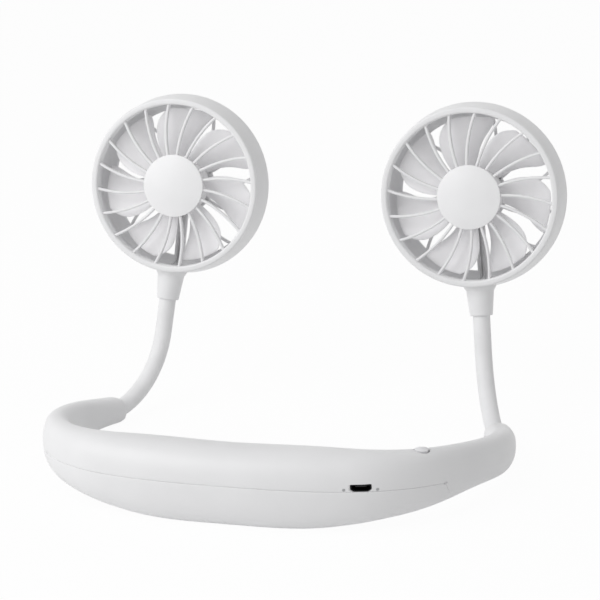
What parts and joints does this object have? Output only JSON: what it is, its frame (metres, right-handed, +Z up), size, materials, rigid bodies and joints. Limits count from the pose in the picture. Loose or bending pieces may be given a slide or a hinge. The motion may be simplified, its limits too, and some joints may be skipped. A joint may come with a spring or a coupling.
{
  "type": "neck fan",
  "caption": "Wearable neck fan: a curved battery neckband with a charging inlet and a power button, and bendable arms that carry round grilled fan heads.",
  "frame": {"origin": "middle of the whole part's bounding box across and front to back, on the surface that the belly of the band and the tips of its legs rest on", "axes": "+X across the band, to the wearer's right; +Y from the convex back of the band towards the open side and the fan heads; +Z up"},
  "size_m": [0.2072, 0.1676, 0.1332],
  "materials": {
    "shell_white": "satin moulded",
    "grille_white": "satin moulded",
    "button_white": "satin moulded",
    "blade_grey": "satin moulded",
    "sleeve_grey": "smooth silicone",
    "spine_metal": "turned",
    "steel": "plated",
    "brass": "turned",
    "copper": "wound wire",
    "cell_wrap": "shrink wrapped",
    "foam": "closed-cell foam",
    "board_green": "lacquered",
    "chip_black": "moulded",
    "black_plastic": "moulded",
    "lens": "frosted clear",
    "lead_red": "smooth insulation",
    "lead_white": "smooth insulation"
  },
  "bodies": {
    "neckband": {"upper_housing": "shell_white", "lower_cover": "shell_white", "battery_cell": "cell_wrap", "battery_pad": "foam", "circuit_board": "board_green", "board_components": "chip_black", "usb_socket": "steel", "usb_tongue": "black_plastic", "indicator_lenses": "lens", "switch_board": "board_green", "tact_switch": "black_plastic", "housing_screws": "steel", "battery_leads": "lead_red", "left_motor_lead": "lead_white", "right_motor_lead": "lead_white", "left_arm_anchor": "spine_metal", "right_arm_anchor": "spine_metal", "left_sleeve_1": "sleeve_grey", "right_sleeve_1": "sleeve_grey"},
    "button": {"power_button": "button_white"},
    "left_link_1": {"left_arm_link_1": "spine_metal", "left_sleeve_2": "sleeve_grey"},
    "left_link_2": {"left_arm_link_2": "spine_metal", "left_sleeve_3": "sleeve_grey"},
    "left_link_3": {"left_arm_link_3": "spine_metal", "left_sleeve_4": "sleeve_grey"},
    "left_head": {"left_head_anchor": "spine_metal", "left_rear_housing": "shell_white", "left_front_grille": "grille_white", "left_hub_cap": "grille_white", "left_motor_can": "steel", "left_motor_bush": "brass", "left_motor_screws": "steel", "left_head_leads": "lead_red"},
    "left_rotor": {"left_fan_wheel": "blade_grey", "left_motor_shaft": "steel", "left_armature": "copper"},
    "right_link_1": {"right_arm_link_1": "spine_metal", "right_sleeve_2": "sleeve_grey"},
    "right_link_2": {"right_arm_link_2": "spine_metal", "right_sleeve_3": "sleeve_grey"},
    "right_link_3": {"right_arm_link_3": "spine_metal", "right_sleeve_4": "sleeve_grey"},
    "right_head": {"right_head_anchor": "spine_metal", "right_rear_housing": "shell_white", "right_front_grille": "grille_white", "right_hub_cap": "grille_white", "right_motor_can": "steel", "right_motor_bush": "brass", "right_motor_screws": "steel", "right_head_leads": "lead_red"},
    "right_rotor": {"right_fan_wheel": "blade_grey", "right_motor_shaft": "steel", "right_armature": "copper"}
  },
  "joints": [
    {"name": "button_press", "type": "slide", "parent": "neckband", "child": "button", "axis": [0, 0, -1], "range_m": [0, 0.0004], "stiffness_N_per_m": 1200, "springref_m": -0.0003},
    {"name": "left_tilt_lower", "type": "hinge", "parent": "neckband", "child": "left_link_1", "pos_m": [-0.07985, 0.03358, 0.00666], "axis": [0.9336, -0.3584, 0], "range_deg": [-25, 25], "deforming": ["left_sleeve_1"]},
    {"name": "left_sway_lower", "type": "hinge", "parent": "left_link_1", "child": "left_link_2", "pos_m": [-0.07532, 0.04539, 0.01357], "axis": [-0.2304, -0.6001, 0.766], "range_deg": [-18, 18], "deforming": ["left_sleeve_2"]},
    {"name": "left_tilt_upper", "type": "hinge", "parent": "left_link_2", "child": "left_link_3", "pos_m": [-0.0721, 0.05379, 0.02482], "axis": [0.9336, -0.3584, 0], "range_deg": [-25, 25], "deforming": ["left_sleeve_3"]},
    {"name": "left_sway_upper", "type": "hinge", "parent": "left_link_3", "child": "left_head", "pos_m": [-0.07043, 0.05815, 0.03851], "axis": [-0.3445, -0.8974, 0.2756], "range_deg": [-18, 18], "deforming": ["left_sleeve_4"]},
    {"name": "left_fan_spin", "type": "hinge", "parent": "left_head", "child": "left_rotor", "pos_m": [-0.06472, 0.06919, 0.09484], "axis": [0, -0.9877, 0.1562], "continuous": true},
    {"name": "right_tilt_lower", "type": "hinge", "parent": "neckband", "child": "right_link_1", "pos_m": [0.07985, 0.03358, 0.00666], "axis": [0.9336, 0.3584, 0], "range_deg": [-25, 25], "deforming": ["right_sleeve_1"]},
    {"name": "right_sway_lower", "type": "hinge", "parent": "right_link_1", "child": "right_link_2", "pos_m": [0.07532, 0.04539, 0.01357], "axis": [0.2304, -0.6001, 0.766], "range_deg": [-18, 18], "deforming": ["right_sleeve_2"]},
    {"name": "right_tilt_upper", "type": "hinge", "parent": "right_link_2", "child": "right_link_3", "pos_m": [0.0721, 0.05379, 0.02482], "axis": [0.9336, 0.3584, 0], "range_deg": [-25, 25], "deforming": ["right_sleeve_3"]},
    {"name": "right_sway_upper", "type": "hinge", "parent": "right_link_3", "child": "right_head", "pos_m": [0.07043, 0.05815, 0.03851], "axis": [0.3445, -0.8974, 0.2756], "range_deg": [-18, 18], "deforming": ["right_sleeve_4"]},
    {"name": "right_fan_spin", "type": "hinge", "parent": "right_head", "child": "right_rotor", "pos_m": [0.06472, 0.06919, 0.09484], "axis": [0, -0.9877, 0.1562], "continuous": true}
  ],
  "couplings": [
    {"joint": "left_tilt_upper", "follows": "left_tilt_lower", "ratio": 1},
    {"joint": "left_sway_upper", "follows": "left_sway_lower", "ratio": 1},
    {"joint": "right_tilt_upper", "follows": "right_tilt_lower", "ratio": 1},
    {"joint": "right_sway_upper", "follows": "right_sway_lower", "ratio": 1}
  ]
}
